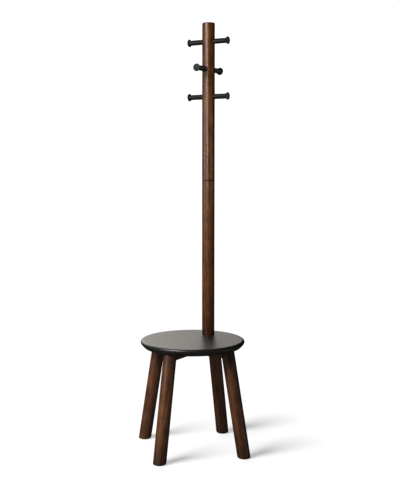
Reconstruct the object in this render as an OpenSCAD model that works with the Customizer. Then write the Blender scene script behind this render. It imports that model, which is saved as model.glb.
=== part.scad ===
// Hall tree with a round stool seat, four splayed legs and six coat pegs.
// Frame: +Z up, origin on the floor below the centre of the seat.
// The pole stands behind the centre, on +Y; the legs point along -Y, +X, +Y and -X.

/* [Seat] */
// Height of the seat's top above the floor
seat_height = 433; // [380:1:500]
// Widest diameter of the seat
seat_d = 402; // [392:1:440]
// Thickness of the seat
seat_t = 28; // [22:0.5:34]
// How far in from the rim the rounded upper edge starts
seat_edge_w = 10; // [6:0.5:14]
// Height of the rounded upper edge
seat_edge_h = 9; // [5:0.5:12]
// How far the underside is drawn in from the rim
seat_undercut = 14.5; // [12:0.5:20]
// How full the side is between the rim and the underside
seat_side_fullness = 0.7; // [0.5:0.05:0.9]
// Rounding of the lower edge
seat_low_round = 2; // [1:0.5:3]

/* [Legs] */
// Diameter of a leg
leg_d = 49.5; // [44:0.5:54]
// Lean of a leg away from upright, in degrees
leg_splay = 10.35; // [9:0.05:11.5]
// How far a leg's outer face stands in from the edge of the seat's underside
leg_inset = 5; // [1:0.5:8]
// Rounding of a foot's lower edge
foot_round = 3; // [1.5:0.5:5]
// Diameter of the felt pad under a foot
pad_d = 38; // [30:1:38]
// Thickness of the felt pad
pad_t = 2; // [1:0.5:4]

/* [Braces] */
// Width of a brace bar
brace_w = 28; // [24:1:34]
// Height of a brace bar
brace_h = 29; // [26:1:36]
// Rounding of a brace's long lower edges
brace_round = 3; // [1:0.5:4]
// Width of the tenon that enters a leg
tenon_w = 12; // [8:1:16]
// Height of the tenon
tenon_h = 20; // [14:1:22]
// How far the tenon reaches past a leg's axis
tenon_past = 5; // [0:0.5:8]
// Glue gap round a tenon and along the lap joint
glue_gap = 0.1; // [0.05:0.05:0.3]
// Room left behind the end of a tenon
tenon_end_gap = 0.5; // [0.2:0.1:1]

/* [Pole] */
// Diameter of the pole
pole_d = 49; // [44:0.5:52]
// Distance from the seat's rim in to the pole's axis
pole_inset = 85; // [84:0.5:100]
// Length of the lower section above the seat's top
pole_lower_l = 612; // [500:1:700]
// Length of the upper section
pole_upper_l = 605; // [450:1:700]
// Depth of the recess in the seat that holds the pole's foot
pole_recess = 5; // [3:0.5:8]
// Clearance between the pole and the wall of its recess
pole_recess_gap = 0.3; // [0.1:0.1:0.6]
// Rounding of the pole's top edge
pole_top_round = 2.5; // [1:0.5:5]
// Bevel on both ends where the two sections meet
seam_bevel = 1; // [0.5:0.25:2]

/* [Pegs] */
// Distance from the pole's top to the axis of the highest pair
peg_top_gap = 71; // [50:1:100]
// Height between one pair of pegs and the next
peg_pitch = 105; // [80:0.5:130]
// Diameter of a peg's shaft
peg_d = 19.5; // [16:0.5:24]
// Diameter of a peg's head
peg_head_d = 29; // [26:0.5:34]
// Reach of a peg from the pole's surface to its rim
peg_reach = 64; // [50:0.5:80]
// Length over which the shaft flares out to the head
peg_flare_l = 8.5; // [6:0.5:12]
// Thickness of the head's rim
peg_rim_t = 4; // [3:0.5:6]
// Rounding of the rim's edges
peg_rim_round = 1.6; // [1:0.1:1.9]
// Rise of the domed face above the rim
peg_dome_h = 0.8; // [0.4:0.1:2]
// Share of the flare's length along which it hardly opens
peg_flare_slender = 0.7; // [0.5:0.05:0.8]
// Share of the shaft's radius across which the domed face is nearly flat
peg_dome_flat = 0.6; // [0.4:0.05:0.8]
// Depth of the round seat in the pole's wall, where it is shallowest
peg_seat_sink = 0.5; // [0.3:0.1:2]
// Clearance between a peg and the wall of its seat
peg_seat_gap = 0.2; // [0.1:0.05:0.4]

/* [Hardware] */
// Diameter of the pole bolt and of the stud between the sections
bolt_d = 8; // [6:1:10]
// Length of thread held in each insert of the pole
bolt_grip = 24; // [18:1:32]
// Diameter of the pole bolt's round head
bolt_head_d = 13; // [12:0.5:16]
// Height of the pole bolt's head
bolt_head_h = 8; // [6:0.5:10]
// Bevel round the free end of the bolt's head
bolt_head_bevel = 0.8; // [0.4:0.1:1.5]
// Width across flats of the key socket in the head
bolt_key_af = 6; // [4:0.5:7]
// Depth of the key socket
bolt_key_depth = 4; // [3:0.5:5]
// Outer diameter of the washer under the brace
washer_d = 22; // [18:0.5:26]
// Thickness of the washer
washer_t = 2; // [1:0.25:3]
// Outer diameter of a threaded insert
insert_d = 12; // [11:0.5:16]
// Length of a threaded insert
insert_l = 25; // [20:1:35]
// How far an insert is sunk below the end of a section
insert_sink = 0.5; // [0.2:0.1:2]
// Room past the end of a bolt or stud in the pole
bolt_end_room = 6; // [2:0.5:12]
// Gap between a thread and the hole that holds it
thread_gap = 0.05; // [0.02:0.01:0.1]
// Gap round a bolt or screw where it passes through freely
pass_gap = 0.4; // [0.2:0.1:0.8]
// Diameter of the studs that join each pair of pegs
peg_stud_d = 6; // [5:1:8]
// Length of thread held in each peg
peg_stud_grip = 16; // [10:1:24]
// Room past the end of a stud in a peg
peg_stud_room = 2; // [1:0.5:4]
// Diameter of a seat screw
screw_d = 4.5; // [4:0.5:6]
// Diameter of a seat screw's head
screw_head_d = 9; // [8:0.5:11]
// Depth of the counterbore that sinks a seat screw's head
screw_sink = 8; // [4:0.5:12]
// Length of screw held in the seat
screw_grip = 17; // [12:0.5:19]
// Distance from the centre to a seat screw
screw_r = 68; // [50:1:75]
// Room past a seat screw's tip
screw_end_room = 1; // [0.5:0.1:2]
// Length of the cross slots in a seat screw's head
screw_slot_l = 4.6; // [3.6:0.1:5]
// Width of the cross slots
screw_slot_w = 1.2; // [0.8:0.1:1.6]
// Depth of the cross slots
screw_slot_depth = 1.8; // [1:0.1:2]

/* [Hidden] */

$fn = 96;
// Small amount by which cutters stand proud of the faces that they cut
over = 1;

// Directions round the vertical axis
TO_RIGHT = 0;
TO_BACK = 90;
TO_LEFT = 180;
TO_FRONT = 270;

// Heights above the floor
seat_under_z = seat_height - seat_t;
brace_z = seat_under_z - brace_h;
brace_mid_z = seat_under_z - brace_h / 2;
pole_foot_z = seat_height - pole_recess;
pole_seam_z = seat_height + pole_lower_l;
pole_top_z = pole_seam_z + pole_upper_l;
peg_top_z = pole_top_z - peg_top_gap;
peg_middle_z = peg_top_z - peg_pitch;
peg_bottom_z = peg_middle_z - peg_pitch;

// Distance from the seat's centre to the pole's axis
pole_offset = seat_d / 2 - pole_inset;

// Distances from the pole's axis along a peg
pole_r = pole_d / 2;
peg_seat_r = peg_d / 2 + peg_seat_gap;
peg_base_s = sqrt(pole_r * pole_r - peg_seat_r * peg_seat_r) - peg_seat_sink;
peg_rim_s = pole_r + peg_reach;

// Distance from the centre to a leg's axis, at the seat and at the floor
leg_top_r = seat_d / 2 - seat_undercut - leg_inset - leg_d / 2 / cos(leg_splay);
leg_foot_r = leg_top_r + seat_under_z * tan(leg_splay);

// Length of a seat screw from the face of its head to its tip
screw_length = brace_h - screw_sink + screw_grip;

// Distance from the centre to a leg's axis at a given height
function leg_axis_r(z) = leg_foot_r - z * tan(leg_splay);

// Points of an arc, as [x, y] about a centre
function arc(centre, r, from, to, steps) = [
    for (i = [0:steps])
        let (a = from + (to - from) * i / steps)
            [centre[0] + r[0] * cos(a), centre[1] + r[1] * sin(a)]
];

// Points of a curve from a to c that leans towards b
function bend(a, b, c, steps) = [
    for (i = [0:steps])
        let (t = i / steps)
            a * (1 - t) * (1 - t) + b * 2 * t * (1 - t) + c * t * t
];

// ---- Colours ----

module walnut() color([0.30, 0.17, 0.11]) children();
module black_lacquer() color([0.09, 0.09, 0.09]) children();
module felt() color([0.16, 0.14, 0.13]) children();
module steel() color([0.70, 0.70, 0.72]) children();
module brass() color([0.78, 0.62, 0.32]) children();

// ---- Places ----

// Turns children from +X to one of the four directions
module facing(direction) rotate([0, 0, direction]) children();

// Puts children on the pole's axis
module at_pole() translate([0, pole_offset, 0]) children();

// Puts children, drawn along +Z from the pole's axis, on a peg's axis
module at_peg(direction, z)
    at_pole() translate([0, 0, z]) facing(direction) rotate([0, 90, 0]) children();

// Children once for each screw of a brace that lies along X
module each_screw_along_x()
    for (side = [-1, 1])
        translate([side * screw_r, 0, brace_z + screw_sink]) children();

// ---- Seat ----

// Half section of the seat: undercut side, rounded upper edge, flat top
function seat_section() =
    let (
        rim = seat_d / 2,
        under = rim - seat_undercut,
        rim_z = seat_t - seat_edge_h,
        lean = [seat_undercut, rim_z] / norm([seat_undercut, rim_z])
    ) concat(
        [[0, 0]],
        bend([under - seat_low_round, 0], [under, 0], [under, 0] + lean * seat_low_round, 4),
        bend([under, 0] + lean * seat_low_round * 1.5, [rim, rim_z * seat_side_fullness], [rim, rim_z], 8),
        arc([rim - seat_edge_w, rim_z], [seat_edge_w, seat_edge_h], 10, 90, 8),
        [[0, seat_t]]
    );

module seat()
    black_lacquer()
        difference() {
            translate([0, 0, seat_under_z]) rotate_extrude($fn = 180) polygon(seat_section());
            at_pole() {
                translate([0, 0, pole_foot_z])
                    cylinder(d = pole_d + 2 * pole_recess_gap, h = pole_recess + over);
                translate([0, 0, seat_under_z - over])
                    cylinder(d = bolt_d + 2 * pass_gap, h = seat_t + over);
            }
            for (direction = [TO_RIGHT, TO_BACK])
                facing(direction)
                    each_screw_along_x()
                        cylinder(d = screw_d + 2 * thread_gap, h = screw_length + screw_end_room);
        }

// ---- Legs ----

// A leg's full round, longer than the leg at both ends
module leg_round(extra = 0)
    translate([leg_foot_r, 0, 0])
        rotate([0, -leg_splay, 0])
            translate([0, 0, -leg_d])
                cylinder(d = leg_d + 2 * extra, h = 2 * leg_d + seat_under_z / cos(leg_splay));

// Everything above a foot's rounded lower edge and below the seat
module foot_envelope() {
    steepest = 67.5;
    edge = arc([leg_d / 2 - foot_round, pad_t + foot_round], [foot_round, foot_round],
               -90, steepest - 90, 5);
    last = edge[len(edge) - 1];
    translate([leg_foot_r, 0, 0])
        rotate_extrude()
            polygon(concat(
                [[0, pad_t]],
                edge,
                [[last[0] + (seat_under_z - last[1]) / tan(steepest), seat_under_z],
                 [0, seat_under_z]]
            ));
}

// The tenon of a brace in the leg on +X, or with a gap round it, the mortise for it
module tenon(gap = 0, end_gap = 0) {
    from_x = leg_axis_r(brace_mid_z) - leg_d;
    to_x = leg_axis_r(brace_mid_z) + tenon_past;
    translate([from_x, -tenon_w / 2 - gap, brace_mid_z - tenon_h / 2 - gap])
        cube([to_x - from_x + end_gap, tenon_w + 2 * gap, tenon_h + 2 * gap]);
}

module leg(direction)
    walnut()
        facing(direction)
            difference() {
                intersection() {
                    leg_round();
                    foot_envelope();
                }
                tenon(glue_gap, tenon_end_gap);
            }

module foot_pad(direction)
    felt() facing(direction) translate([leg_foot_r, 0, 0]) cylinder(d = pad_d, h = pad_t);

// ---- Braces ----

// Section of a brace, with its long lower edges rounded
module brace_section() {
    half = brace_w / 2;
    in = half - brace_round;
    radii = [brace_round, brace_round];
    polygon(concat(
        [[half, brace_h]],
        [[-half, brace_h]],
        arc([-in, brace_round], radii, 180, 270, 4),
        arc([in, brace_round], radii, 270, 360, 4)
    ));
}

// A bar along X, coped round both legs, with a tenon on each end
module brace_bar() {
    half_l = leg_axis_r(brace_mid_z);
    difference() {
        translate([-half_l, 0, brace_z])
            rotate([90, 0, 90])
                linear_extrude(2 * half_l) brace_section();
        for (direction = [TO_RIGHT, TO_LEFT])
            facing(direction) leg_round(glue_gap);
        each_screw_along_x() {
            cylinder(d = screw_d + 2 * pass_gap, h = brace_h);
            screw_countersink(pass_gap);
            translate([0, 0, -screw_sink - over])
                cylinder(d = screw_head_d + 2 * pass_gap, h = screw_sink + over);
        }
    }
    for (direction = [TO_RIGHT, TO_LEFT])
        facing(direction) tenon();
}

// Half of the bar's height, cut out where the other brace crosses
module lap_notch(z) {
    across = brace_w + 2 * glue_gap;
    translate([-across / 2, -brace_w, z]) cube([across, 2 * brace_w, brace_h / 2 + over]);
}

module brace_left_right()
    walnut()
        difference() {
            brace_bar();
            lap_notch(brace_z - over);
        }

module brace_front_back()
    walnut()
        difference() {
            facing(TO_BACK)
                difference() {
                    brace_bar();
                    lap_notch(brace_mid_z);
                }
            at_pole()
                translate([0, 0, brace_z - over])
                    cylinder(d = bolt_d + 2 * pass_gap, h = brace_h + 2 * over);
        }

// ---- Pole ----

// A bore for an insert in the end of a section, with room for the thread past it
module insert_bore() {
    insert_end = insert_sink + insert_l;
    translate([0, 0, -over]) cylinder(d = insert_d + 2 * thread_gap, h = insert_end + over);
    cylinder(d = bolt_d + 2 * pass_gap, h = max(insert_end, bolt_grip) + bolt_end_room);
}

// Half section of a round bar with its lower and upper edges eased
function bar_section(r, h, low, high) = concat(
    [[0, 0]],
    low > 0 ? [[r - low, 0], [r, low]] : [[r, 0]],
    high,
    [[0, h]]
);

module pole_lower() {
    length = pole_lower_l + pole_recess;
    walnut()
        at_pole()
            translate([0, 0, pole_foot_z])
                difference() {
                    rotate_extrude()
                        polygon(bar_section(pole_r, length, 0,
                            [[pole_r, length - seam_bevel], [pole_r - seam_bevel, length]]));
                    insert_bore();
                    translate([0, 0, length]) mirror([0, 0, 1]) insert_bore();
                }
}

// The flat-bottomed seat and the bore for one peg, in the pole's wall
module peg_seat() {
    translate([0, 0, peg_base_s]) cylinder(r = peg_seat_r, h = pole_r - peg_base_s + over);
    cylinder(d = peg_stud_d + 2 * pass_gap, h = pole_r);
}

module pole_upper()
    walnut()
        difference() {
            at_pole()
                translate([0, 0, pole_seam_z])
                    difference() {
                        rotate_extrude()
                            polygon(bar_section(pole_r, pole_upper_l, seam_bevel,
                                arc([pole_r - pole_top_round, pole_upper_l - pole_top_round],
                                    [pole_top_round, pole_top_round], 0, 90, 6)));
                        insert_bore();
                    }
            for (direction = [TO_LEFT, TO_RIGHT]) {
                at_peg(direction, peg_top_z) peg_seat();
                at_peg(direction, peg_bottom_z) peg_seat();
            }
            for (direction = [TO_FRONT, TO_BACK])
                at_peg(direction, peg_middle_z) peg_seat();
        }

// ---- Pegs ----

// Half section of a peg along its axis: shaft, flare, rounded rim and domed face
function peg_section() =
    let (
        shaft_r = peg_d / 2,
        head_r = peg_head_d / 2,
        l = peg_rim_s - peg_base_s,
        flare_z = l - peg_rim_t - peg_flare_l,
        rim_z = l - peg_rim_t,
        edge = [peg_rim_round, peg_rim_round]
    ) concat(
        [[0, 0], [shaft_r, 0]],
        bend([shaft_r, flare_z], [shaft_r, flare_z + peg_flare_l * peg_flare_slender],
             [head_r - peg_rim_round, rim_z], 8),
        arc([head_r - peg_rim_round, rim_z + peg_rim_round], edge, -60, 0, 4),
        arc([head_r - peg_rim_round, l - peg_rim_round], edge, 0, 75, 5),
        bend([head_r - peg_rim_round, l], [shaft_r * peg_dome_flat, l + peg_dome_h],
             [0, l + peg_dome_h], 6)
    );

module peg(direction, z)
    black_lacquer()
        at_peg(direction, z)
            translate([0, 0, peg_base_s])
                difference() {
                    rotate_extrude() polygon(peg_section());
                    translate([0, 0, -over])
                        cylinder(d = peg_stud_d + 2 * thread_gap,
                                 h = peg_stud_grip + peg_stud_room + over);
                }

// ---- Hardware ----

// A plain round bar with bevelled ends, from z = 0
module threaded_rod(d, l) {
    bevel = d / 8;
    rotate_extrude()
        polygon([[0, 0], [d / 2 - bevel, 0], [d / 2, bevel],
                 [d / 2, l - bevel], [d / 2 - bevel, l], [0, l]]);
}

module peg_studs() {
    half_l = peg_base_s + peg_stud_grip;
    steel()
        for (place = [[TO_RIGHT, peg_top_z], [TO_BACK, peg_middle_z], [TO_RIGHT, peg_bottom_z]])
            at_peg(place[0], place[1])
                translate([0, 0, -half_l]) threaded_rod(peg_stud_d, 2 * half_l);
}

module pole_joint_stud()
    steel()
        at_pole()
            translate([0, 0, pole_seam_z - bolt_grip]) threaded_rod(bolt_d, 2 * bolt_grip);

module insert()
    difference() {
        cylinder(d = insert_d, h = insert_l);
        translate([0, 0, -over]) cylinder(d = bolt_d + 2 * thread_gap, h = insert_l + 2 * over);
    }

module pole_inserts()
    brass()
        at_pole()
            for (z = [pole_foot_z + insert_sink,
                      pole_seam_z - insert_sink - insert_l,
                      pole_seam_z + insert_sink])
                translate([0, 0, z]) insert();

module pole_washer()
    steel()
        at_pole()
            translate([0, 0, brace_z - washer_t])
                difference() {
                    cylinder(d = washer_d, h = washer_t);
                    translate([0, 0, -over])
                        cylinder(d = bolt_d + 2 * pass_gap, h = washer_t + 2 * over);
                }

module pole_bolt() {
    under_head_z = brace_z - washer_t;
    steel()
        at_pole()
            difference() {
                union() {
                    translate([0, 0, under_head_z])
                        threaded_rod(bolt_d, pole_foot_z + bolt_grip - under_head_z);
                    translate([0, 0, under_head_z - bolt_head_h])
                        rotate_extrude() polygon(bar_section(
                            bolt_head_d / 2, bolt_head_h, bolt_head_bevel,
                            [[bolt_head_d / 2, bolt_head_h]]));
                }
                translate([0, 0, under_head_z - bolt_head_h - over])
                    cylinder(d = bolt_key_af / cos(30), h = bolt_key_depth + over, $fn = 6);
            }
}

// The cone under a countersunk head, from z = 0 upwards
module screw_countersink(gap = 0) {
    h = (screw_head_d - screw_d) / 2;
    rotate_extrude()
        polygon([[0, 0], [screw_head_d / 2 + gap, 0], [screw_d / 2 + gap, h], [0, h]]);
}

// A countersunk wood screw that points up, with its head's face at z = 0
module seat_screw() {
    tip_l = screw_d;
    difference() {
        union() {
            rotate_extrude()
                polygon([[0, 0], [screw_d / 2, 0], [screw_d / 2, screw_length - tip_l],
                         [screw_d / 8, screw_length], [0, screw_length]]);
            screw_countersink();
        }
        for (turn = [0, 90])
            rotate([0, 0, turn])
                translate([-screw_slot_l / 2, -screw_slot_w / 2, -over])
                    cube([screw_slot_l, screw_slot_w, screw_slot_depth + over]);
    }
}

module seat_screws()
    steel()
        for (direction = [TO_RIGHT, TO_BACK])
            facing(direction) each_screw_along_x() seat_screw();

// ---- Nodes ----

seat();
brace_front_back();
brace_left_right();
leg(TO_FRONT);  // leg_front
leg(TO_RIGHT);  // leg_right
leg(TO_BACK);  // leg_back
leg(TO_LEFT);  // leg_left
foot_pad(TO_FRONT);  // foot_pad_front
foot_pad(TO_RIGHT);  // foot_pad_right
foot_pad(TO_BACK);  // foot_pad_back
foot_pad(TO_LEFT);  // foot_pad_left
pole_lower();
pole_upper();
pole_joint_stud();
pole_inserts();
pole_bolt();
pole_washer();
peg(TO_LEFT, peg_top_z);  // peg_top_left
peg(TO_RIGHT, peg_top_z);  // peg_top_right
peg(TO_FRONT, peg_middle_z);  // peg_middle_front
peg(TO_BACK, peg_middle_z);  // peg_middle_back
peg(TO_LEFT, peg_bottom_z);  // peg_bottom_left
peg(TO_RIGHT, peg_bottom_z);  // peg_bottom_right
peg_studs();
seat_screws();
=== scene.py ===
# %% [markdown]
# # Dressing a hall tree
# This file loads the finished construction of a hall tree: a round stool whose seat carries a
# pole with six coat pegs. The construction is never moved here. What this lesson adds is what
# an eye needs: a camera, light, wood that looks like wood, and the small steel, brass and felt
# pieces that are too fine for the construction itself.

# %% Load the construction
import math

import bpy
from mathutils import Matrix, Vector


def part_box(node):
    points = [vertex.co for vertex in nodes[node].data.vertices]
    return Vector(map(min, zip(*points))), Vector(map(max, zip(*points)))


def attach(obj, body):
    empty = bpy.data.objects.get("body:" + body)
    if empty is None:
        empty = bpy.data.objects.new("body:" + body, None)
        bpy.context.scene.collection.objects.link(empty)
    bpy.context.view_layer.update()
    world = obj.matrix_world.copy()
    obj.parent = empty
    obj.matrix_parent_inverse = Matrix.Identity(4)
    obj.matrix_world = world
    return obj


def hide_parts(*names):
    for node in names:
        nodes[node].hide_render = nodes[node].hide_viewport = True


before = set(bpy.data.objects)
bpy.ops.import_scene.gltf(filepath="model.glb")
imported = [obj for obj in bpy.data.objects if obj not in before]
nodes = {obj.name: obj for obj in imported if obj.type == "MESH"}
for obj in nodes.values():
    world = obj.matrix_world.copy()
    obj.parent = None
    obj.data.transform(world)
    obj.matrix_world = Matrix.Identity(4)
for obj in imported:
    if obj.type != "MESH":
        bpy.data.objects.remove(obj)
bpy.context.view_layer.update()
scene = bpy.context.scene
print("pieces in the construction:", len(nodes))

# %% [markdown]
# ## The camera
# A long lens from a little below the pegs keeps the pole straight and shows the seat as a
# flat ellipse. The camera stands front right of the stand, a bit over three metres away, and
# looks slightly down. A camera could also be aimed at a point, but two angles are easier to
# read and to change.

# %% Camera
CAMERA_PLACE = Vector((1.7987, -2.8380, 1.1119))
# Degrees: how far it looks down, and how far it is turned round the stand from its front.
CAMERA_DOWN = 5.64
CAMERA_ROUND = 31.88
# Millimetres.
SENSOR_WIDTH = 36
LENS = 63.26


def make_camera():
    """The camera at its place, turned round the stand and tipped down."""
    data = bpy.data.cameras.new("camera")
    data.sensor_width = SENSOR_WIDTH
    data.lens = LENS
    camera = bpy.data.objects.new("camera", data)
    camera.location = CAMERA_PLACE
    camera.rotation_euler = (math.radians(90 - CAMERA_DOWN), 0, math.radians(CAMERA_ROUND))
    scene.collection.objects.link(camera)
    return camera


scene.camera = make_camera()
pole_middle = (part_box("pole_lower")[0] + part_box("pole_upper")[1]) / 2
print("camera to the pole:", round((CAMERA_PLACE - pole_middle).length, 2), "m")

# %% [markdown]
# ## Small helpers for materials
# Every finish below is a short chain of nodes. Helpers keep those chains readable: one makes a
# material, one adds a node with its settings and socket values, one joins two sockets, and one
# gives a piece its material. A look could also be built by hand in the shader editor, but a
# chain in code serves every bar and peg in turn.

# %% Material helpers
def new_material(name):
    """A material, its node tree and its shader."""
    material = bpy.data.materials.new(name)
    material.use_nodes = True
    return material, material.node_tree, material.node_tree.nodes["Principled BSDF"]


def add_node(tree, kind, values=None, **settings):
    """A node of a kind, with its settings and the constants of its sockets."""
    node = tree.nodes.new("ShaderNode" + kind)
    for setting, value in settings.items():
        setattr(node, setting, value)
    for socket, value in (values or {}).items():
        node.inputs[socket].default_value = value
    return node


def join(tree, source, out_socket, target, in_socket):
    """Joins an output to an input."""
    tree.links.new(source.outputs[out_socket], target.inputs[in_socket])


def dress(piece, material):
    """Gives a piece one material in place of any that it had."""
    piece.data.materials.clear()
    piece.data.materials.append(material)


print("material helpers ready")

# %% [markdown]
# ## Steps that every finish repeats
# A pattern starts as noise whose coordinates are squeezed, so that its spots become streaks
# along the grain. A ramp turns the grey pattern into colours, a range turns it into roughness,
# a mix lays two patterns over each other, and a bump lets a pattern dent the surface. The mix
# node repeats the names of its sockets for numbers, vectors and colours, so its colour
# sockets are picked by their number.

# %% Pattern helpers
MIX_FACTOR, MIX_FIRST, MIX_SECOND, MIX_RESULT = 0, 6, 7, 2
# Noise is grey in its middle range and seldom leaves it.
NOISE_RANGE = (0.35, 0.65)


def stretched(tree, source, out_socket, scale):
    """The pattern's coordinates, squeezed by a scale in each direction."""
    node = add_node(tree, "Mapping", {"Scale": scale})
    join(tree, source, out_socket, node, "Vector")
    return node


def noise(tree, source, detail, roughness=0.5, distortion=0.0):
    """Noise at the scale of its coordinates."""
    node = add_node(tree, "TexNoise", {"Scale": 1, "Detail": detail, "Roughness": roughness,
                                       "Distortion": distortion})
    join(tree, source, "Vector", node, "Vector")
    return node


def ramp(tree, source, out_socket, stops):
    """A colour ramp through (place, colour) stops, fed by a socket."""
    node = add_node(tree, "ValToRGB")
    elements = node.color_ramp.elements
    while len(elements) < len(stops):
        elements.new(0.5)
    for element, (place, colour) in zip(elements, stops):
        element.position = place
        element.color = (*colour, 1)
    join(tree, source, out_socket, node, "Fac")
    return node


def grey_range(tree, source, out_socket, low, high, from_low=0.0, from_high=1.0):
    """Maps a value from one range to another."""
    node = add_node(tree, "MapRange", {"From Min": from_low, "From Max": from_high,
                                       "To Min": low, "To Max": high})
    join(tree, source, out_socket, node, "Value")
    return node


def blend_colours(tree, mode, factor, first, second):
    """Mixes two colours. Each of the three is a number, a colour or a (node, socket) pair."""
    node = add_node(tree, "Mix", data_type="RGBA", blend_type=mode)
    for index, source in ((MIX_FACTOR, factor), (MIX_FIRST, first), (MIX_SECOND, second)):
        if isinstance(source, tuple) and isinstance(source[0], bpy.types.Node):
            tree.links.new(source[0].outputs[source[1]], node.inputs[index])
        else:
            node.inputs[index].default_value = source
    return node


def dent(tree, shader, source, out_socket, strength, distance):
    """Lets a pattern raise and dent the surface a little."""
    bump = add_node(tree, "Bump", {"Strength": strength, "Distance": distance})
    join(tree, source, out_socket, bump, "Height")
    join(tree, bump, "Normal", shader, "Normal")


print("pattern helpers ready")

# %% [markdown]
# ## A pale floor that stays white
# In a studio the paper under a product is lit until it is just white, and only short, soft
# shadows stay beside the feet. Here the disc glows white by itself. It answers to the shadow
# light only in a long oval patch beside each foot, on the side where the foot's shadow falls.
# There the glow gives way to a grey that the light brings back to the same white, so the patch
# shows only where a leg blocks the light. The floor is kept out of diffuse and glossy rays,
# because one that is lit so strongly would light the dark wood from below.

# %% The floor's paper
SIDES = ("front", "right", "back", "left")
# The paper's grey and its glow in the middle of a patch, and its glow outside the patches.
PATCH_GREY = 0.34
PATCH_GLOW = 0.34
PAPER_GLOW = 1.03
# Half the length and width of a patch, and how far its middle lies from the foot.
PATCH = (0.34, 0.17)
PATCH_SHIFT = 0.12
# How far to the left of the camera the shadow light stands, in degrees.
SHADOW_ROUND = 52


def patch_reach(tree, coordinates, side, away):
    """The distance to the middle of one foot's patch, which is 1 at the patch's edge."""
    low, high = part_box("foot_pad_" + side)
    foot = (low + high) / 2
    patch = add_node(tree, "Mapping", {
        "Location": (foot.x + PATCH_SHIFT * math.cos(away),
                     foot.y + PATCH_SHIFT * math.sin(away), 0),
        "Rotation": (0, 0, away), "Scale": (*PATCH, 1)}, vector_type="TEXTURE")
    join(tree, coordinates, "Object", patch, "Vector")
    reach = add_node(tree, "VectorMath", operation="LENGTH")
    join(tree, patch, "Vector", reach, 0)
    return reach


def studio_paper():
    """Matt white paper that answers to light only beside the feet."""
    paper, tree, shader = new_material("studio_paper")
    shader.inputs["Roughness"].default_value = 1
    shader.inputs["Specular IOR Level"].default_value = 0
    shader.inputs["Emission Color"].default_value = (1, 1, 1, 1)
    coordinates = add_node(tree, "TexCoord")
    away = math.radians(CAMERA_ROUND - SHADOW_ROUND + 90)
    nearest = patch_reach(tree, coordinates, SIDES[0], away)
    for side in SIDES[1:]:
        smaller = add_node(tree, "Math", operation="MINIMUM")
        join(tree, nearest, "Value", smaller, 0)
        join(tree, patch_reach(tree, coordinates, side, away), "Value", smaller, 1)
        nearest = smaller
    grey = grey_range(tree, nearest, "Value", PATCH_GREY, 0)
    join(tree, grey, "Result", shader, "Base Color")
    glow = grey_range(tree, nearest, "Value", PATCH_GLOW, PAPER_GLOW)
    join(tree, glow, "Result", shader, "Emission Strength")
    return paper


paper = studio_paper()
print("paper with a patch at each of", len(SIDES), "feet")

# %% Floor
FLOOR_RADIUS = 8
FLOOR_CORNERS = 96


def make_floor():
    """A wide paper disc under the stand."""
    bpy.ops.object.select_all(action="DESELECT")
    bpy.ops.mesh.primitive_circle_add(vertices=FLOOR_CORNERS, radius=FLOOR_RADIUS,
                                      fill_type="NGON")
    floor = bpy.context.object
    floor.name = "studio_floor"
    floor.visible_diffuse = False
    floor.visible_glossy = False
    dress(floor, paper)
    return floor


floor = make_floor()
print("floor radius:", FLOOR_RADIUS, "m")

# %% [markdown]
# ## Studio light
# Round, satin pieces are drawn by what they mirror, so each soft box is there for one stripe or
# one edge. A single large lamp would be simpler, but it would give the pole, the pegs and the
# stool the same stripe. A gamma a little below one deepens the dark tones of the wood.

# %% Soft boxes
BOX_DISTANCE = 2.4
scene.view_settings.view_transform = "Standard"
scene.view_settings.gamma = 0.85


def soft_box(name, left_of_camera, height, size, watts, target_height, distance=BOX_DISTANCE):
    """An area light to the left of the camera, as seen from the stand."""
    light = bpy.data.lights.new(name, "AREA")
    light.shape = "RECTANGLE"
    light.size, light.size_y = size
    light.energy = watts
    lamp = bpy.data.objects.new(name, light)
    turn = math.radians(CAMERA_ROUND - left_of_camera)
    lamp.location = (distance * math.sin(turn), -distance * math.cos(turn), height)
    away = Vector((0, 0, target_height)) - lamp.location
    lamp.rotation_euler = away.to_track_quat("-Z", "Y").to_euler()
    lamp.visible_camera = False
    scene.collection.objects.link(lamp)
    return lamp


# Each line: name, degrees to the left of the camera, height of the lamp, its width and height,
# watts, and the height that it is aimed at.
HIGH_LIGHT = soft_box("high_light", 40, 2.4, (1.2, 0.6), 72, 1.1)
POLE_LIGHTS = (
    soft_box("pole_stripe", 22, 1.42, (0.5, 0.8), 26, 1.3),
    soft_box("pole_front", 8, 1.4, (0.4, 0.4), 1.5, 1.4, distance=1.3),
    soft_box("pole_side", 76, 1.2, (1.4, 0.8), 15, 1.0),
    soft_box("pole_right", -70, 1.15, (0.3, 0.5), 0.6, 1.15, distance=0.65),
)
PEG_LIGHT = soft_box("peg_right", -100, 1.5, (1.0, 1.0), 6, 1.5, distance=1.6)
STOOL_LIGHTS = (
    soft_box("stool_side", 64, 2.0, (1.0, 0.8), 14, 0.3),
    soft_box("stool_low", 50, 0.65, (1.5, 0.8), 13, 0.3),
    soft_box("stool_front", 46, 2.1, (0.9, 0.6), 44, 0.2),
    soft_box("stool_right", -65, 0.08, (0.8, 0.3), 1.2, 0.05, distance=1.2),
)
SHADOW_LIGHT = soft_box("shadow_light", SHADOW_ROUND, 2.75, (5.2, 4.2), 4050, 0, distance=8)
for lamp in (HIGH_LIGHT, *POLE_LIGHTS, PEG_LIGHT, *STOOL_LIGHTS, SHADOW_LIGHT):
    print(lamp.name, "at", [round(x, 2) for x in lamp.location])

# %% [markdown]
# ## Flags
# A studio keeps light off a piece with black card, a flag. In Blender light linking does the
# work of the cards. The high box lights the whole stand. Four boxes reach only the pole and its
# pegs, one more only the pegs' right sides, and four only the stool. The shadow light reaches
# nothing but the floor and is blocked only by the legs, so their feet throw soft shadows and
# the broad seat throws none.

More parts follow.
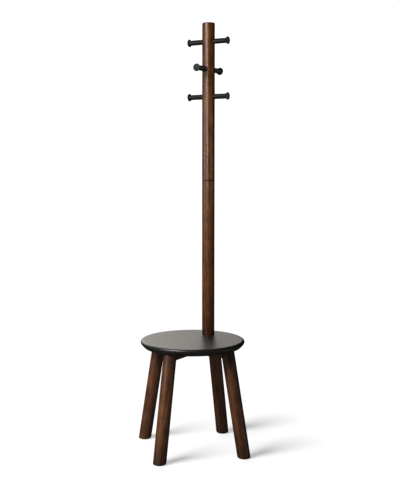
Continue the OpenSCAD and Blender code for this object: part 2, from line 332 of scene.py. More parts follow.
# %% Flags
def linked(name, pieces, state):
    """A collection for light linking, with every piece in one state."""
    group = bpy.data.collections.new(name)
    for piece in pieces:
        group.objects.link(piece)
    for member in group.collection_objects:
        member.light_linking.link_state = state
    return group


def flag(lamps, pieces):
    """Keeps the light of some lamps off some pieces."""
    for lamp in lamps:
        group = linked(lamp.name + "_flags", pieces, "EXCLUDE")
        lamp.light_linking.receiver_collection = group


legs = [nodes[name] for name in sorted(nodes) if name.startswith("leg_")]
pole_and_pegs = [nodes[name] for name in sorted(nodes) if name.startswith(("pole_", "peg_"))]
stool = [piece for piece in nodes.values() if piece not in pole_and_pegs]
flag((HIGH_LIGHT,), [floor])
flag(POLE_LIGHTS, [floor, *stool])
flag((PEG_LIGHT,), [floor, *stool, nodes["pole_lower"], nodes["pole_upper"]])
flag(STOOL_LIGHTS, [floor, *pole_and_pegs])
shadow_links = SHADOW_LIGHT.light_linking
shadow_links.receiver_collection = linked("shadow_floor", [floor], "INCLUDE")
shadow_links.blocker_collection = linked("shadow_legs", legs, "INCLUDE")
print("flagged for the stool:", len(stool), "for the pole and pegs:", len(pole_and_pegs))

# %% [markdown]
# ## What the satin surfaces mirror
# A satin seat seen at a low angle mirrors the wall behind it more than any lamp, so the world
# has a bright round patch there, high up and with a soft edge. Below the horizon it glows a
# little, except behind the stand, as pale paper does in front of a product. The camera itself
# sees plain white, because a backdrop in a studio is lit on its own.

# %% World
BACK_GLOW = 3.2
# Degrees: how far the patch lies to the left of straight behind, how high up, and where its
# soft edge begins and ends from its middle, outer one first.
BACK_LEFT = 20
BACK_UP = 34
BACK_EDGES = (34, 14)
LOW_GLOW = 0.19
# Where the low glow ends at the horizon, and where it fades out towards the back.
HORIZON = (-0.02, 0.02)
BEHIND = (-0.85, -0.25)
GLOW_COLOUR = (1, 0.965, 0.91, 1)
BACKDROP_WHITE = 1.08
WHITE = (1, 1, 1, 1)


def back_patch(tree, direction):
    """A bright round patch behind the stand."""
    turn, rise = math.radians(CAMERA_ROUND + BACK_LEFT), math.radians(BACK_UP)
    middle = (-math.sin(turn) * math.cos(rise), math.cos(turn) * math.cos(rise), math.sin(rise))
    towards_patch = add_node(tree, "VectorMath", {1: middle}, operation="DOT_PRODUCT")
    join(tree, direction, "Generated", towards_patch, 0)
    edges = [math.cos(math.radians(angle)) for angle in BACK_EDGES]
    glow = grey_range(tree, towards_patch, "Value", 0, BACK_GLOW, *edges)
    glow.interpolation_type = "SMOOTHSTEP"
    return glow


def low_glow(tree, direction):
    """A dim glow from below, on all sides but the back."""
    parts = add_node(tree, "SeparateXYZ")
    join(tree, direction, "Generated", parts, 0)
    low = grey_range(tree, parts, "Z", LOW_GLOW, 0, *HORIZON)
    camera_way = Vector((CAMERA_PLACE.x, CAMERA_PLACE.y, 0)).normalized()
    towards_camera = add_node(tree, "VectorMath", {1: camera_way}, operation="DOT_PRODUCT")
    join(tree, direction, "Generated", towards_camera, 0)
    front = grey_range(tree, towards_camera, "Value", 0, 1, *BEHIND)
    low_front = add_node(tree, "Math", operation="MULTIPLY")
    join(tree, low, "Result", low_front, 0)
    join(tree, front, "Result", low_front, 1)
    return low_front


def make_world():
    """White for the camera; for the pieces the patch behind and the glow from below."""
    world = bpy.data.worlds.new("studio")
    world.use_nodes = True
    tree = world.node_tree
    background = tree.nodes["Background"]
    direction = add_node(tree, "TexCoord")
    both = add_node(tree, "Math", operation="ADD")
    join(tree, back_patch(tree, direction), "Result", both, 0)
    join(tree, low_glow(tree, direction), "Value", both, 1)
    rays = add_node(tree, "LightPath")
    seen = add_node(tree, "Mix", {"B": BACKDROP_WHITE})
    join(tree, rays, "Is Camera Ray", seen, "Factor")
    join(tree, both, "Value", seen, "A")
    join(tree, seen, "Result", background, "Strength")
    tint = blend_colours(tree, "MIX", (rays, "Is Camera Ray"), GLOW_COLOUR, WHITE)
    join(tree, tint, MIX_RESULT, background, "Color")
    return world


scene.world = make_world()
print("world: a patch of", BACK_GLOW, "behind, a glow of", LOW_GLOW, "from below")

# %% [markdown]
# ## Walnut that runs along each bar
# A turned bar is cut from a board, so its growth rings are wide arcs about a pith that lies
# outside the bar. One solid pattern gives both: long streaks on the side and arcs on the end.
# Wood never takes stain evenly, so a slower noise leaves some zones darker and others redder.
# An image of a board would need unwrapping and would not meet at the ends.

# %% Walnut colour
RING_PITCH = 0.0034
# The pitch of the wave texture's rings where its scale is 1.
WAVE_PERIOD = 0.314
RING_STRETCH = (1, 1, 0.06)
FIBRES = (330, 330, 9)
FIBRE_SHARE = 0.82
DARK_WALNUT = (0.058, 0.0180, 0.0040)
RED_WALNUT = (0.108, 0.0375, 0.0080)
PALE_WALNUT = (0.170, 0.0630, 0.0165)
GRAIN_STOPS = (0.34, 0.50, 0.68)
# Mottling: the size of its zones, and what it multiplies the colour by at its two ends.
MOTTLE = (60, 60, 22)
DARK_MOTTLE = (0.64, 0.67, 0.72)
RED_MOTTLE = (1.38, 1.34, 1.30)
MOTTLE_STOPS = (0.32, 0.68)


def growth_rings(tree, board):
    """Wavy rings about the pith, drawn out along the bar."""
    slow = stretched(tree, board, "Vector", RING_STRETCH)
    rings = add_node(tree, "TexWave", {"Scale": WAVE_PERIOD / RING_PITCH, "Distortion": 5,
                                       "Detail": 2, "Detail Scale": 0.6,
                                       "Detail Roughness": 0.6},
                     wave_type="RINGS", rings_direction="Z", wave_profile="SIN")
    join(tree, slow, "Vector", rings, "Vector")
    return rings


def stained_wood(tree, board, fibre, tone):
    """The colour of the stained wood, its three browns multiplied by a tone, which on the legs
    also holds painted light and shade.
    """
    rings = growth_rings(tree, board)
    streaks = blend_colours(tree, "MIX", FIBRE_SHARE, (rings, "Fac"), (fibre, "Fac"))
    browns = [[part * share for part, share in zip(colour, tone)]
              for colour in (DARK_WALNUT, RED_WALNUT, PALE_WALNUT)]
    grain = ramp(tree, streaks, MIX_RESULT, list(zip(GRAIN_STOPS, browns)))
    zones = noise(tree, stretched(tree, board, "Vector", MOTTLE), 3)
    mottled = ramp(tree, zones, "Fac", list(zip(MOTTLE_STOPS, (DARK_MOTTLE, RED_MOTTLE))))
    return blend_colours(tree, "MULTIPLY", 1.0, (grain, "Color"), (mottled, "Color"))


print("walnut in three browns, rings", 1000 * RING_PITCH, "mm apart")

# %% [markdown]
# ## Where the wood is darker
# Some of this is painted shade and not stain: a leg is made darker at its foot, where shade
# gathers by the floor, and under the seat, which shades it, and the pole where it stands on
# the black seat. Real stain settles at the pole sections' very ends, and a cut end soaks up
# more stain than a side; the surface's own direction tells which is which. Each dark zone runs
# from the bar's end, where a share of the colour is kept, to a height where all of it is.

# %% Stains
# Painted shade by the floor: the share of the colour kept at each foot, and how high it reaches.
FOOT_SHADE_SHARES = {"leg_front": 0.36, "leg_right": 0.46, "leg_back": 0.28, "leg_left": 0.74}
FOOT_SHADE_HEIGHT = 0.17
# Each of these: how far the darker zone reaches, and the share kept at the end. At the legs'
# tops it is painted shade under the seat; at the joints and the pole's top it is stain.
TOP_SHADE = {"leg_front": (0.12, 0.48), "leg_right": (0.08, 0.78), "leg_back": (0.05, 0.95),
              "leg_left": (0.14, 0.42)}
JOINT_STAIN = (0.005, 0.12)
POLE_TOP_STAIN = (0.004, 0.5)
# Painted shade where the pole stands on the black seat.
POLE_FOOT_SHADE = (0.12, 0.38)
# How dark a cut end is, and how squarely a face must look along the bar to count as one.
END_SHARE = 0.55
END_RANGE = (0.6, 0.95)


def stains_and_shade_of(bar):
    """Where a bar is darker, from stain or painted shade: (height of its end, height where that
    stops, share of colour).
    """
    low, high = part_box(bar)
    if bar.startswith("leg_"):
        reach, share = TOP_SHADE[bar]
        return [(low.z, low.z + FOOT_SHADE_HEIGHT, FOOT_SHADE_SHARES[bar]),
                (high.z, high.z - reach, share)]
    if bar.startswith("brace_"):
        return []
    bottom = (low.z, low.z + JOINT_STAIN[0], JOINT_STAIN[1])
    if bar == "pole_upper":
        return [bottom, (high.z, high.z - POLE_TOP_STAIN[0], POLE_TOP_STAIN[1])]
    return [bottom, (low.z, low.z + POLE_FOOT_SHADE[0], POLE_FOOT_SHADE[1]),
            (high.z, high.z - JOINT_STAIN[0], JOINT_STAIN[1])]


def darkened(tree, coordinates, turn, colour, stains_and_shade):
    """A colour made darker on the bar's cut ends and in its zones of stain and painted shade."""
    across = add_node(tree, "VectorMath", operation="ABSOLUTE")
    normal = add_node(tree, "Mapping", {"Rotation": turn}, vector_type="TEXTURE")
    join(tree, coordinates, "Normal", normal, "Vector")
    join(tree, normal, "Vector", across, 0)
    parts = add_node(tree, "SeparateXYZ")
    join(tree, across, 0, parts, 0)
    end_grain = grey_range(tree, parts, "Z", 1.0, END_SHARE, *END_RANGE)
    colour = blend_colours(tree, "MULTIPLY", 1.0, (colour, MIX_RESULT), (end_grain, "Result"))
    place = add_node(tree, "SeparateXYZ")
    join(tree, coordinates, "Object", place, 0)
    for end, inside, share in stains_and_shade:
        stain_or_shade = grey_range(tree, place, "Z", share, 1.0, end, inside)
        colour = blend_colours(tree, "MULTIPLY", 1.0, (colour, MIX_RESULT), (stain_or_shade, "Result"))
    return colour


# Counts the lower pole's zones of stain and painted shade.
print("stains on the lower pole:", len(stains_and_shade_of("pole_lower")))

# %% [markdown]
# ## The finished walnut
# A texture mapping puts the pattern's own axes on each bar, so the grain follows a splayed
# leg. Open pores are small dark dashes that also dent the lacquer, and the sheen varies with
# the fibres. The legs are a little duller than the pole.

# %% Walnut
# The pith's place beside the bar's axis.
PITH = (0.055, 0.03)
FINE_FIBRES = (1500, 1500, 35)
PORES = (2300, 2300, 95)
PORE_SHARE = 0.35
PORE_RANGE = (0.60, 0.70)
SHEEN_RANGE = (0.3, 0.7)


def walnut(name, point, turn, shift, tone, sheen, stains_and_shade):
    """Stained walnut whose grain runs along a bar through a point, turned like the bar."""
    material, tree, shader = new_material(name)
    coordinates = add_node(tree, "TexCoord")
    bar = add_node(tree, "Mapping", {"Location": point, "Rotation": turn}, vector_type="TEXTURE")
    join(tree, coordinates, "Object", bar, "Vector")
    board = add_node(tree, "Mapping", {"Location": (*PITH, shift)})
    join(tree, bar, "Vector", board, "Vector")

    fibre = noise(tree, stretched(tree, board, "Vector", FIBRES), 5, 0.65, 0.3)
    stained = stained_wood(tree, board, fibre, tone)
    pores = noise(tree, stretched(tree, board, "Vector", PORES), 1)
    pore = grey_range(tree, pores, "Fac", 1.0, PORE_SHARE, *PORE_RANGE)
    opened = blend_colours(tree, "MULTIPLY", 1.0, (stained, MIX_RESULT), (pore, "Result"))
    finished = darkened(tree, coordinates, turn, opened, stains_and_shade)
    join(tree, finished, MIX_RESULT, shader, "Base Color")

    gloss = grey_range(tree, fibre, "Fac", *sheen, *SHEEN_RANGE)
    join(tree, gloss, "Result", shader, "Roughness")
    fine = noise(tree, stretched(tree, board, "Vector", FINE_FIBRES), 3)
    height = blend_colours(tree, "MULTIPLY", 1.0, (fine, "Fac"), (pore, "Result"))
    dent(tree, shader, height, MIX_RESULT, 0.35, 0.0002)
    return material


print("pores", round(1000 / PORES[2], 1), "mm long")

# %% [markdown]
# ## One board for each bar
# The legs lean, so the lean is measured from the construction: the middles of a leg's lowest
# and highest slices give it to within a degree, which is near enough for grain. Every bar then
# gets its own stretch of the board, and each leg its own tone. A leg's tone is partly its wood,
# because no two are cut from the same place, and partly painted light and shade: legs that the
# lamps light differently are made lighter or darker in their colour too.

# %% Walnut on the bars
SLICES = 20
BOARD_STEP = 1.7
# Roughness from the dullest to the brightest fibres, lowest first.
POLE_SHEEN = (0.26, 0.40)
LEG_SHEEN = (0.40, 0.56)
# Each leg's tone: partly its wood, partly painted light and shade.
LEG_TONES_AND_SHADE = {"leg_front": (1.14, 1.20, 1.50), "leg_right": (0.80, 0.80, 0.90),
             "leg_back": (1.24, 1.50, 2.15), "leg_left": (1.06, 1.18, 2.10)}


def centre_of(node):
    """The middle of a node's box."""
    low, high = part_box(node)
    return (low + high) / 2


def lean_of(node):
    """How far a leg leans from upright, from the middles of its lowest and highest slices."""
    points = [v.co for v in nodes[node].data.vertices]
    low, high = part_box(node)
    slice_z = (high.z - low.z) / SLICES
    foot = [p for p in points if p.z < low.z + slice_z]
    top = [p for p in points if p.z > high.z - slice_z]
    middles = [sum((p.xy for p in group), Vector((0, 0))) / len(group) for group in (foot, top)]
    return math.atan2((middles[0] - middles[1]).length, high.z - low.z - slice_z)


BAR_TURNS = {
    "leg_right": (0, -lean_of("leg_right"), 0),
    "leg_back": (0, -lean_of("leg_back"), math.radians(90)),
    "leg_left": (0, -lean_of("leg_left"), math.radians(180)),
    "leg_front": (0, -lean_of("leg_front"), math.radians(270)),
    "brace_left_right": (0, math.radians(90), 0),
    "brace_front_back": (0, math.radians(90), math.radians(90)),
    "pole_lower": (0, 0, 0),
    "pole_upper": (0, 0, math.radians(140)),
}
for count, (bar, turn) in enumerate(BAR_TURNS.items()):
    sheen = LEG_SHEEN if bar.startswith("leg_") else POLE_SHEEN
    tone = LEG_TONES_AND_SHADE.get(bar, (1, 1, 1))
    dress(nodes[bar], walnut("walnut_" + bar, centre_of(bar), turn, BOARD_STEP * count, tone,
                             sheen, stains_and_shade_of(bar)))
print("walnut on", len(BAR_TURNS), "bars; legs lean",
      round(math.degrees(lean_of("leg_right")), 2), "degrees")

# %% [markdown]
# ## Black lacquer
# The seat and the pegs are wood under black lacquer. The film is satin: it hides the colour
# of the wood but keeps a trace of its grain, which shows only where light grazes it. So the
# colour hardly varies, while roughness and a very shallow bump follow long streaks. A black
# without any pattern would look like plastic.

# %% Lacquer
# The coordinates' stretch for the seat's grain, for the pegs' and for the film's own ripple.
SEAT_GRAIN = (14, 420, 420)
PEG_GRAIN = (500, 500, 500)
RIPPLE = (900, 900, 900)
RIPPLE_SHARE = 0.3
DEEP_SHARE = 0.7


def black_lacquer(name, grain, roughness, colour, mirror):
    """Satin black over a streaky grain, given by the stretch of its coordinates."""
    material, tree, shader = new_material(name)
    shader.inputs["Specular IOR Level"].default_value = mirror
    coordinates = add_node(tree, "TexCoord")
    streaks = noise(tree, stretched(tree, coordinates, "Object", grain), 4, 0.6, 0.2)
    ripple = noise(tree, stretched(tree, coordinates, "Object", RIPPLE), 2)
    deep = tuple(part * DEEP_SHARE for part in colour)
    tone = ramp(tree, streaks, "Fac", list(zip(NOISE_RANGE, (deep, colour))))
    join(tree, tone, "Color", shader, "Base Color")
    sheen = grey_range(tree, streaks, "Fac", roughness - 0.03, roughness + 0.04, *NOISE_RANGE)
    join(tree, sheen, "Result", shader, "Roughness")
    height = blend_colours(tree, "MIX", RIPPLE_SHARE, (streaks, "Fac"), (ripple, "Fac"))
    dent(tree, shader, height, MIX_RESULT, 0.12, 0.0002)
    return material


seat_finish = black_lacquer("seat_lacquer", SEAT_GRAIN, 0.36, (0.021, 0.0200, 0.0190), 0.5)
dress(nodes["seat"], seat_finish)
peg_finish = black_lacquer("peg_lacquer", PEG_GRAIN, 0.50, (0.007, 0.0068, 0.0065), 0.36)
pegs = sorted(name for name in nodes if name.startswith("peg_") and name != "peg_studs")
for name in pegs:
    dress(nodes[name], peg_finish)
print("lacquer on the seat and", len(pegs), "pegs")

# %% [markdown]
# ## Metals
# The bolt, washer, screws and studs are zinc plated steel, and the inserts are brass. Turned
# metal is never an even mirror: fine tool marks run round it and fingers leave dull patches.
# So the colour is nearly constant, and the roughness carries the marks.

# %% Metals
DULL_PATCHES = (160, 160, 160)
TOOL_MARKS = (600, 600, 9000)


def turned_metal(name, bright, dull, roughness):
    """Metal with fine marks and dull patches."""
    material, tree, shader = new_material(name)
    shader.inputs["Metallic"].default_value = 1
    coordinates = add_node(tree, "TexCoord")
    patches = noise(tree, stretched(tree, coordinates, "Object", DULL_PATCHES), 4)
    marks = noise(tree, stretched(tree, coordinates, "Object", TOOL_MARKS), 2)
    tone = ramp(tree, patches, "Fac", [(0.35, dull), (0.6, bright)])
    join(tree, tone, "Color", shader, "Base Color")
    both = blend_colours(tree, "MIX", 0.5, (patches, "Fac"), (marks, "Fac"))
    sheen = grey_range(tree, both, MIX_RESULT, roughness - 0.1, roughness + 0.12, *NOISE_RANGE)
    join(tree, sheen, "Result", shader, "Roughness")
    dent(tree, shader, marks, "Fac", 0.2, 0.00005)
    return material


steel = turned_metal("zinc_steel", (0.60, 0.61, 0.63), (0.42, 0.42, 0.43), 0.34)
brass = turned_metal("insert_brass", (0.74, 0.55, 0.24), (0.52, 0.36, 0.15), 0.36)
dress(nodes["pole_washer"], steel)
print("metals:", steel.name, brass.name)

# %% [markdown]
# ## Felt
# A foot stands on a thin disc of pressed wool felt, which keeps it from scratching the floor.
# Felt has no weave: it is a mat of short fibres, so its colour is speckled and its edge is
# uneven. A little sheen gives the soft light rim of wool.

# %% Felt
WOOL_FIBRES = (1800, 1800, 3600)
WOOL_TUFTS = (320, 320, 320)
TUFT_SHARE = 0.35


def wool_felt(name, light, dark):
    """Speckled pressed wool."""
    material, tree, shader = new_material(name)
    shader.inputs["Roughness"].default_value = 0.95
    shader.inputs["Sheen Weight"].default_value = 0.35
    coordinates = add_node(tree, "TexCoord")
    fibres = noise(tree, stretched(tree, coordinates, "Object", WOOL_FIBRES), 5, 0.7, 1.2)
    tufts = noise(tree, stretched(tree, coordinates, "Object", WOOL_TUFTS), 3)
    speckle = blend_colours(tree, "MIX", TUFT_SHARE, (fibres, "Fac"), (tufts, "Fac"))
    tone = ramp(tree, speckle, MIX_RESULT, [(0.38, dark), (0.62, light)])
    join(tree, tone, "Color", shader, "Base Color")
    dent(tree, shader, speckle, MIX_RESULT, 0.8, 0.0003)
    return material


felt = wool_felt("wool_felt", (0.075, 0.066, 0.056), (0.020, 0.017, 0.014))
print("felt:", felt.name)

# %% [markdown]
# ## Tools for round hardware
# Everything round is drawn up from a disc: the disc's face is extruded and resized, ring after
# ring, as a profile on a lathe. A lathe could also be copied with a spin of an outline, but
# rings of heights and radii are easier to change. A finished piece has its place in its mesh,
# because the patterns above read the mesh's own coordinates.

# %% Tools for round pieces
ROUND_SIDES = 48


def select_only(piece):
    """Makes a piece the only selected and active one."""
    bpy.ops.object.select_all(action="DESELECT")
    piece.select_set(True)
    bpy.context.view_layer.objects.active = piece


def fix_place(piece):
    """Writes a piece's place and turn into its mesh."""
    select_only(piece)
    bpy.ops.object.transform_apply(location=True, rotation=True, scale=True)


def face_outwards():
    """In edit mode: turns all faces outwards."""
    bpy.ops.mesh.select_all(action="SELECT")
    bpy.ops.mesh.normals_make_consistent(inside=False)


def turned(name, rings, sides=ROUND_SIDES):
    """A round solid about Z, drawn up from a disc through rings of (height, radius)."""
    bpy.ops.object.select_all(action="DESELECT")
    height, radius = rings[0]
    bpy.ops.mesh.primitive_circle_add(vertices=sides, radius=radius, fill_type="NGON",
                                      location=(0, 0, height))
    piece = bpy.context.object
    piece.name = name
    bpy.ops.object.mode_set(mode="EDIT")
    for next_height, next_radius in rings[1:]:
        rise = (0, 0, next_height - height)
        bpy.ops.mesh.extrude_region_move(TRANSFORM_OT_translate={"value": rise})
        share = next_radius / radius
        bpy.ops.transform.resize(value=(share, share, 1), center_override=(0, 0, next_height))
        height, radius = next_height, next_radius
    face_outwards()
    bpy.ops.object.mode_set(mode="OBJECT")
    fix_place(piece)
    return piece


print("a round piece has", ROUND_SIDES, "sides unless it says otherwise")

# %% [markdown]
# ## Joining, cutting and finishing
# Parts of one real piece are joined into one object. A slot or socket is cut with a block that
# disappears afterwards. When a piece is done, it gets its material and crisp edges, rides on
# the stand and takes the place of the construction's plain one.

# %% Tools for finishing
CRISP_ANGLE = 35


def fused(name, pieces):
    """Joins several pieces into one object."""
    select_only(pieces[0])
    for other in pieces[1:]:
        other.select_set(True)
    bpy.ops.object.join()
    pieces[0].name = name
    return pieces[0]


def cut(piece, cutter):
    """Takes a cutter out of a piece."""
    boolean = piece.modifiers.new("cut", "BOOLEAN")
    boolean.operation = "DIFFERENCE"
    boolean.solver = "EXACT"
    boolean.object = cutter
    select_only(piece)
    bpy.ops.object.modifier_apply(modifier=boolean.name)
    bpy.data.objects.remove(cutter)


def put_on_axis(piece, centre, direction):
    """Turns a piece from Z to a direction and moves its middle to a centre."""
    piece.rotation_euler = Vector(direction).to_track_quat("Z", "Y").to_euler()
    piece.location = centre
    fix_place(piece)


def finish_piece(piece, material, node):
    """Gives a finished piece its material and shading, hangs it on the stand's root and hides
    the
    CAD node that it stands for.
    """
    dress(piece, material)
    select_only(piece)
    bpy.ops.object.shade_smooth_by_angle(angle=math.radians(CRISP_ANGLE))
    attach(piece, "root")
    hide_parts(node)
    print(piece.name, "stands for", node, "with", len(piece.data.polygons), "faces")


print("edges sharper than", CRISP_ANGLE, "degrees stay crisp")

# %% [markdown]
# ## A screw thread
# The ridge of a thread is a small triangle that the Screw modifier winds round the axis, and
# its two open ends are then filled. A ridge exactly as wide as the pitch would touch the next
# turn, so it is made a little narrower.

# %% Threads
THREAD_STEPS = 24
RIDGE_SHARE = 0.95


def thread(name, radius, pitch, low, high, ridge_width=None):
    """A helical ridge about Z with its crest at a radius, between two heights."""
    side = ridge_width or RIDGE_SHARE * pitch
    bpy.ops.object.select_all(action="DESELECT")
    bpy.ops.mesh.primitive_circle_add(vertices=3, radius=side / math.sqrt(3),
                                      fill_type="NOTHING",
                                      rotation=(math.radians(90), math.radians(-90), 0))
    ridge = bpy.context.object
    ridge.name = name
    fix_place(ridge)
    bpy.ops.object.mode_set(mode="EDIT")
    bpy.ops.mesh.select_all(action="SELECT")
    crest = max(v.co.x for v in ridge.data.vertices)
    bpy.ops.transform.translate(value=(radius - crest, 0, low + side / 2))
    bpy.ops.object.mode_set(mode="OBJECT")
    screw = ridge.modifiers.new("screw", "SCREW")
    screw.steps = screw.render_steps = THREAD_STEPS
    screw.screw_offset = pitch
    screw.iterations = int((high - low - side) / pitch)
    bpy.ops.object.modifier_apply(modifier=screw.name)
    bpy.ops.object.mode_set(mode="EDIT")
    bpy.ops.mesh.select_all(action="SELECT")
    bpy.ops.mesh.fill_holes(sides=3)
    face_outwards()
    bpy.ops.object.mode_set(mode="OBJECT")
    return ridge


print("a thread has", THREAD_STEPS, "steps a turn")

# %% [markdown]
# ## Threaded rods
# One stud joins the two halves of the pole, and three thinner ones run through the pole and
# hold the pegs in pairs. They are cut from metric rod, so the crest of the thread is at the
# nominal radius and the core is thinner. They lie hidden in the wood, but anyone who takes
# the stand apart sees them.

# %% Stud of the pole
ROD_SIDES = 32
# The depth of a metric thread as a share of its pitch.
THREAD_DEPTH = 0.61
WIDE_PITCH = 0.00125


def rod(name, radius, pitch, low, high):
    """A metric threaded rod about Z with bevelled ends."""
    core = radius - THREAD_DEPTH * pitch
    bevel = core / 4
    bar = turned(name, [(low, core - bevel), (low + bevel, core), (high - bevel, core),
                        (high, core - bevel)], ROD_SIDES)
    return fused(name, [bar, thread(name + "_thread", radius, pitch, low + bevel, high - bevel)])


low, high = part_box("pole_joint_stud")
half = (high.z - low.z) / 2
stud = rod("stud_in_pole", (high.x - low.x) / 2, WIDE_PITCH, -half, half)
put_on_axis(stud, (low + high) / 2, (0, 0, 1))
finish_piece(stud, steel, "pole_joint_stud")

# %% Studs of the pegs
PEG_STUD_RADIUS = 0.003
PEG_STUD_PITCH = 0.001
low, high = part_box("peg_studs")
middle = (low + high) / 2
half = (high.x - low.x) / 2
peg_studs = []
for height, direction in ((high.z - PEG_STUD_RADIUS, (1, 0, 0)), (middle.z, (0, 1, 0)),
                          (low.z + PEG_STUD_RADIUS, (1, 0, 0))):
    peg_stud = rod("peg_stud", PEG_STUD_RADIUS, PEG_STUD_PITCH, -half, half)
    put_on_axis(peg_stud, (middle.x, middle.y, height), direction)
    peg_studs.append(peg_stud)
finish_piece(fused("studs_of_pegs", peg_studs), steel, "peg_studs")

# %% [markdown]
# ## Brass inserts
# An insert is a short brass tube with a coarse thread outside, for wood, and a bore for the
# bolt. A slot across its end takes a screwdriver. The tube is an open cylinder that Solidify
# gives a wall, the ridges outside are the same thread as before with a wider pitch, and the
# slot is cut with a thin block.

# %% Inserts
INSERT_BORE = 0.00405
# The coarse ridges: how far they stand out, their pitch and their width.
INSERT_STEP = 0.0009
INSERT_PITCH = 0.0027
INSERT_RIDGE = 0.0015
SLOT_WIDTH = 0.0014
SLOT_DEPTH = 0.002


def insert(name, radius, length):
    """A threaded insert that stands on height zero, with its slot below."""
    body = radius - INSERT_STEP
    bpy.ops.object.select_all(action="DESELECT")
    bpy.ops.mesh.primitive_cylinder_add(vertices=ROUND_SIDES, radius=body, depth=length,
                                        end_fill_type="NOTHING", location=(0, 0, length / 2))
    tube = bpy.context.object
    fix_place(tube)
    wall = tube.modifiers.new("wall", "SOLIDIFY")
    wall.thickness = body - INSERT_BORE
    wall.offset = -1
    bpy.ops.object.modifier_apply(modifier=wall.name)
    bpy.ops.mesh.primitive_cube_add(size=1, scale=(3 * radius, SLOT_WIDTH, 2 * SLOT_DEPTH))
    cut(tube, bpy.context.object)
    ridges = thread(name + "_ridges", radius, INSERT_PITCH, 0.003, length - 0.001, INSERT_RIDGE)
    return fused(name, [tube, ridges])


low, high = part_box("pole_inserts")
middle = (low + high) / 2
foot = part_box("pole_lower")[0].z
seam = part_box("pole_upper")[0].z
sink = low.z - foot
insert_length = high.z - seam - sink
inserts = []
for slot_height, turn in ((foot + sink, 0), (seam - sink, math.pi), (seam + sink, 0)):
    made = insert("insert", (high.x - low.x) / 2, insert_length)
    made.rotation_euler = (turn, 0, 0)
    made.location = (middle.x, middle.y, slot_height)
    fix_place(made)
    inserts.append(made)
finish_piece(fused("inserts_in_pole", inserts), brass, "pole_inserts")

# %% [markdown]
# ## The head of the pole's bolt
# The bolt comes up through the rear brace and the seat into the pole's foot. Its head is
# round, knurled so that fingers can start it, and it has a socket for a hexagonal key. The
# knurl is made by drawing in every other edge of the cylinder, and the socket is cut with a
# six-sided block.

# %% Bolt's head
KNURLS = 40
KNURL_SHARE = 0.955
HEAD_BEVEL = 0.0007
KEY_ACROSS_FLATS = 0.006
KEY_DEPTH = 0.004
LEVEL = 1e-6


def knurled_head(name, radius, low, high):
    """A round head about Z with straight knurls and eased edges."""
    bpy.ops.object.select_all(action="DESELECT")
    bpy.ops.mesh.primitive_cylinder_add(vertices=2 * KNURLS, radius=radius, depth=high - low,
                                        location=(0, 0, (low + high) / 2))
    head = bpy.context.object
    head.name = name
    fix_place(head)
    bpy.ops.object.mode_set(mode="EDIT")
    bpy.ops.mesh.select_all(action="DESELECT")
    bpy.ops.object.mode_set(mode="OBJECT")
    for vertex in head.data.vertices:
        turn = math.atan2(vertex.co.y, vertex.co.x) / math.pi * KNURLS
        vertex.select = round(turn) % 2 == 1
    bpy.ops.object.mode_set(mode="EDIT")
    bpy.ops.transform.resize(value=(KNURL_SHARE, KNURL_SHARE, 1), center_override=(0, 0, 0))
    bpy.ops.mesh.select_all(action="DESELECT")
    bpy.ops.object.mode_set(mode="OBJECT")
    for edge in head.data.edges:
        ends = [head.data.vertices[index].co.z for index in edge.vertices]
        edge.select = abs(ends[0] - ends[1]) < LEVEL
    bpy.ops.object.mode_set(mode="EDIT")
    bpy.ops.mesh.bevel(offset=HEAD_BEVEL, segments=2)
    face_outwards()
    bpy.ops.object.mode_set(mode="OBJECT")
    return head


bolt_low, bolt_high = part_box("pole_bolt")
head_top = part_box("pole_washer")[0].z
bolt_head = knurled_head("bolt_head", (bolt_high.x - bolt_low.x) / 2, bolt_low.z, head_top)
bpy.ops.mesh.primitive_cylinder_add(vertices=6, radius=KEY_ACROSS_FLATS / math.sqrt(3),
                                    depth=2 * KEY_DEPTH, location=(0, 0, bolt_low.z))
cut(bolt_head, bpy.context.object)
print("bolt's head with", KNURLS, "knurls and", len(bolt_head.data.polygons), "faces")

# %% [markdown]
# ## The bolt's shank
# The shank is plain up to where the insert begins and threaded above. Below the ridges the
# core is thinner, and a cone leads the tip into the insert.

# %% Bolt's shank
BOLT_RADIUS = 0.004
BOLT_THREAD = 0.030
CORE_SHARE = 0.81
TIP_SHARE = 0.6
thread_start = bolt_high.z - BOLT_THREAD
shank = turned("bolt_shank", [(head_top - 0.001, BOLT_RADIUS), (thread_start, BOLT_RADIUS),
                              (thread_start + 0.0008, BOLT_RADIUS * CORE_SHARE),
                              (bolt_high.z - 0.001, BOLT_RADIUS * CORE_SHARE),
                              (bolt_high.z, BOLT_RADIUS * TIP_SHARE)])
bolt_thread = thread("bolt_thread", BOLT_RADIUS, WIDE_PITCH, thread_start,
                     bolt_high.z - 0.0005)
bolt = fused("bolt_under_pole", [bolt_head, shank, bolt_thread])
bolt.location = ((bolt_low.x + bolt_high.x) / 2, (bolt_low.y + bolt_high.y) / 2, 0)
fix_place(bolt)
finish_piece(bolt, steel, "pole_bolt")

# %% [markdown]
# ## Seat screws
# Four countersunk wood screws hold the braces to the seat from below. Each has a cone under
# its flat head, a smooth neck through the brace and a coarse thread in the seat. The cross
# in the head is cut with two crossed blocks.

# %% Screws
SCREW_HEAD_RADIUS = 0.0045
SCREW_NECK = 0.00155
SCREW_CREST = 0.00225
SCREW_PITCH = 0.0022
SCREW_RIDGE = 0.0013
# Where the ridges begin above the head's face, and how far below the tip they end.
RIDGES_FROM = 0.013
RIDGES_END = 0.0035
CROSS = (0.0046, 0.0012, 0.0036)
# A screw never stops square to its neighbours.
CROSS_TURN = 20


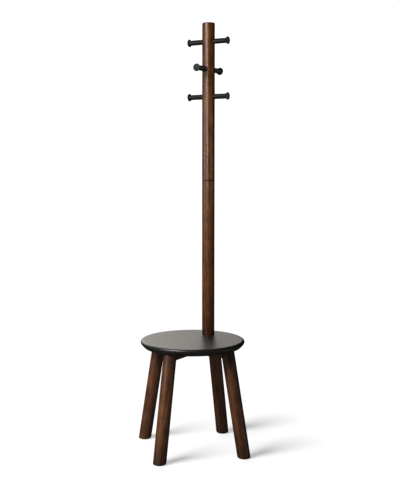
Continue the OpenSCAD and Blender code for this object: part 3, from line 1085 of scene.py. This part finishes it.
def wood_screw(name, length):
    """A countersunk screw that points up from its head's face at height zero."""
    screw = turned(name, [(0, SCREW_HEAD_RADIUS - 0.0001), (0.0003, SCREW_HEAD_RADIUS),
                          (0.0028, SCREW_NECK + 0.0002), (0.005, SCREW_NECK),
                          (length - 0.005, SCREW_NECK), (length - 0.0012, 0.0006),
                          (length, 0.0001)])
    for turn in (0, 90):
        bpy.ops.object.select_all(action="DESELECT")
        bpy.ops.mesh.primitive_cube_add(size=1, scale=CROSS,
                                        rotation=(0, 0, math.radians(turn)))
        cut(screw, bpy.context.object)
    ridges = thread(name + "_thread", SCREW_CREST, SCREW_PITCH, RIDGES_FROM,
                    length - RIDGES_END, SCREW_RIDGE)
    return fused(name, [screw, ridges])


low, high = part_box("seat_screws")
reach = high.x - SCREW_HEAD_RADIUS
screws = []
for turn in (0, 90, 180, 270):
    screw = wood_screw("seat_screw", high.z - low.z)
    angle = math.radians(turn)
    screw.location = (reach * math.cos(angle), reach * math.sin(angle), low.z)
    screw.rotation_euler = (0, 0, math.radians(turn + CROSS_TURN))
    fix_place(screw)
    screws.append(screw)
finish_piece(fused("screws_under_seat", screws), steel, "seat_screws")

# %% [markdown]
# ## Felt pads
# A pad is a disc cut from a felt sheet. Its edge is soft and a little ragged. The disc is
# drawn up with extra rings near its rim, and a Displace modifier with a fine cloud pattern
# moves only the rim, so that the pad stays flat on the floor and under the foot.

# %% Felt pads
PAD_SIDES = 144
RAGGED = 0.0003
SOFT_EDGE = 0.0005
SKIN = 0.00001
CLOUD_SIZE = 0.0012


def felt_pad(name, node):
    """A felt disc in the place of a CAD pad."""
    low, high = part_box(node)
    radius = (high.x - low.x) / 2 - RAGGED
    thick = high.z - low.z
    rings = [(0, radius - 3 * SOFT_EDGE), (SKIN, radius - SOFT_EDGE),
             (SOFT_EDGE, radius), (thick / 2, radius), (thick - SOFT_EDGE, radius),
             (thick - SKIN, radius - SOFT_EDGE), (thick, radius - 3 * SOFT_EDGE)]
    pad = turned(name, rings, PAD_SIDES)
    rim = pad.vertex_groups.new(name="rim")
    rim.add([v.index for v in pad.data.vertices
             if SOFT_EDGE / 2 < v.co.z < thick - SOFT_EDGE / 2], 1, "REPLACE")
    clouds = bpy.data.textures.new(name, "CLOUDS")
    clouds.noise_scale = CLOUD_SIZE
    ragged = pad.modifiers.new("ragged", "DISPLACE")
    ragged.texture = clouds
    ragged.texture_coords = "LOCAL"
    ragged.strength = 2 * RAGGED
    ragged.vertex_group = rim.name
    select_only(pad)
    bpy.ops.object.modifier_apply(modifier=ragged.name)
    pad.location = ((low.x + high.x) / 2, (low.y + high.y) / 2, low.z)
    fix_place(pad)
    return pad


for side in SIDES:
    finish_piece(felt_pad("felt_" + side, "foot_pad_" + side), felt, "foot_pad_" + side)
